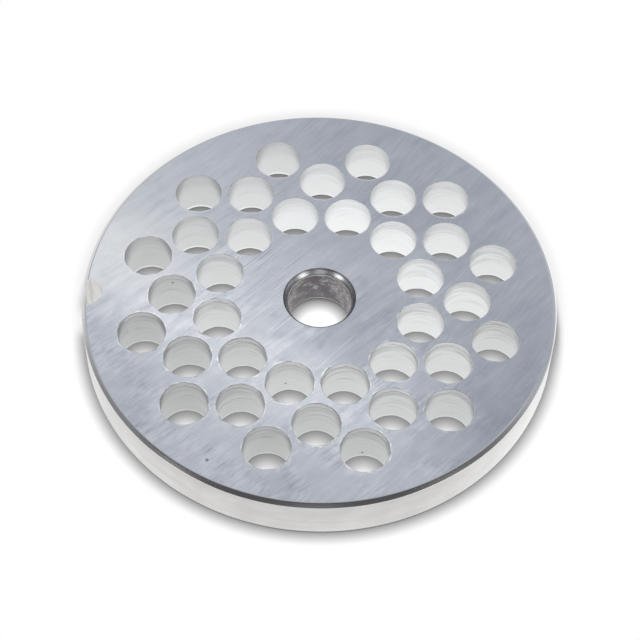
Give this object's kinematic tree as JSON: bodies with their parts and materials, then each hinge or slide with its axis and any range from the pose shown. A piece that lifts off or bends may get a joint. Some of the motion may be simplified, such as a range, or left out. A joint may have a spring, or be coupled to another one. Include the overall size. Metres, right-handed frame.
{
  "type": "meat grinder plate",
  "caption": "Round steel meat grinder plate with a chamfered centre bore, three staggered rings of coarse through holes and a locating notch in the rim.",
  "frame": {"origin": "centre of the bore on the lower face, which the plate lies on", "axes": "+Z along the bore, out of the upper face; the locating notch points to -X"},
  "size_m": [0.0983, 0.0984, 0.0108],
  "materials": {
    "ground_steel": "surface-ground faces with fine grinding scratches, drilled hole walls, turned rim"
  },
  "bodies": {
    "root": {"grinder_plate": "ground_steel"}
  },
  "joints": []
}
